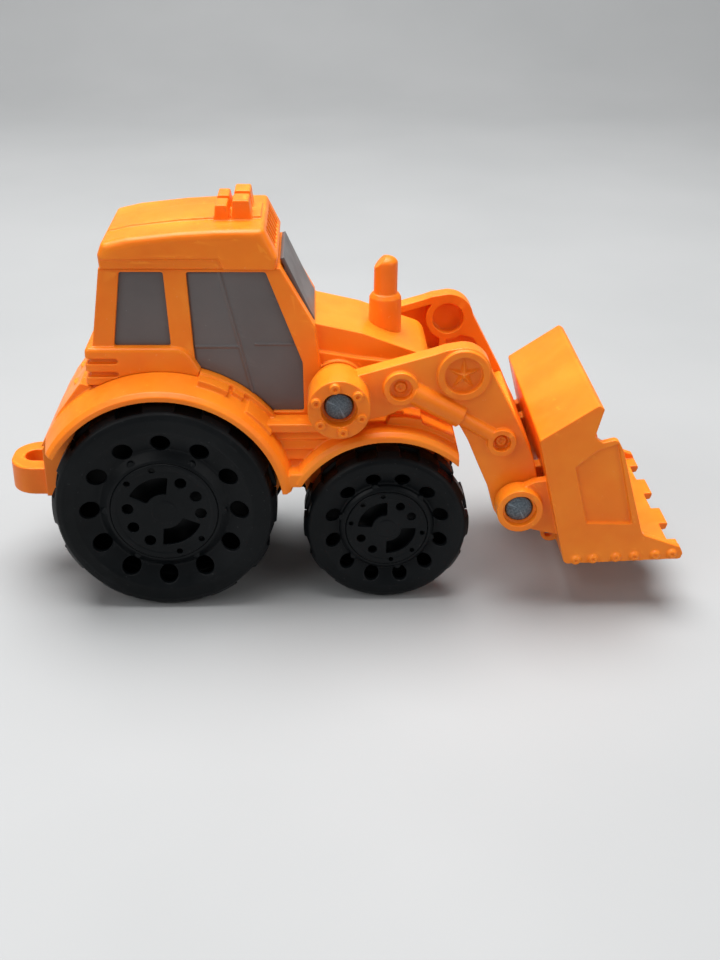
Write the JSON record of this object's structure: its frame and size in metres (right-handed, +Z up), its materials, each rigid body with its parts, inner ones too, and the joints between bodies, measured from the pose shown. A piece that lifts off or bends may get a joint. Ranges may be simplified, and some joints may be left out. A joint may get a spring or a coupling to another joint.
{
  "type": "toy front loader",
  "caption": "Toy wheel loader with a closed cab, lifting arms, a tilting toothed bucket, rolling hollow wheels and a rear tow loop.",
  "frame": {"origin": "on the floor, under the middle of the machine's box", "axes": "+X forward to the bucket, +Y to the machine's left side, +Z up; the wheels stand on z = 0"},
  "size_m": [0.1552, 0.0528, 0.0904],
  "materials": {
    "orange_plastic": "satin moulded plastic",
    "grey_plastic": "smooth moulded plastic",
    "black_plastic": "satin moulded plastic",
    "steel": "dull cut steel",
    "screw_steel": "zinc-plated steel"
  },
  "bodies": {
    "chassis": {"lower_body": "orange_plastic", "upper_body": "orange_plastic", "window_insert": "grey_plastic", "roof": "orange_plastic", "exhaust_stack": "orange_plastic", "base_plate": "black_plastic", "base_screw_1": "screw_steel", "base_screw_2": "screw_steel", "base_screw_3": "screw_steel", "base_screw_4": "screw_steel", "arm_pivot_shaft": "steel"},
    "arm": {"loader_arm_right": "orange_plastic", "loader_arm_left": "orange_plastic", "arm_cross_brace": "orange_plastic"},
    "scoop": {"bucket": "orange_plastic", "bucket_pin_right": "steel", "bucket_pin_left": "steel"},
    "rear_wheels": {"rear_axle": "steel", "rear_wheel_outer_right": "black_plastic", "rear_wheel_outer_left": "black_plastic", "rear_wheel_inner_right": "black_plastic", "rear_wheel_inner_left": "black_plastic", "rear_hub_cap_right": "black_plastic", "rear_hub_cap_left": "black_plastic"},
    "front_wheels": {"front_axle": "steel", "front_wheel_outer_right": "black_plastic", "front_wheel_outer_left": "black_plastic", "front_wheel_inner_right": "black_plastic", "front_wheel_inner_left": "black_plastic", "front_hub_cap_right": "black_plastic", "front_hub_cap_left": "black_plastic"}
  },
  "joints": [
    {"name": "arm_lift", "type": "hinge", "parent": "chassis", "child": "arm", "pos_m": [-0.00115, 0, 0.05065], "axis": [0, -1, 0], "range_deg": [0, 55]},
    {"name": "bucket_tilt", "type": "hinge", "parent": "arm", "child": "scoop", "pos_m": [0.03935, 0, 0.0254], "axis": [0, -1, 0], "range_deg": [-50, 5]},
    {"name": "rear_wheel_spin", "type": "hinge", "parent": "chassis", "child": "rear_wheels", "pos_m": [-0.03975, 0, 0.025], "axis": [0, 1, 0], "continuous": true},
    {"name": "front_wheel_spin", "type": "hinge", "parent": "chassis", "child": "front_wheels", "pos_m": [0.00995, 0, 0.0189], "axis": [0, 1, 0], "continuous": true}
  ]
}
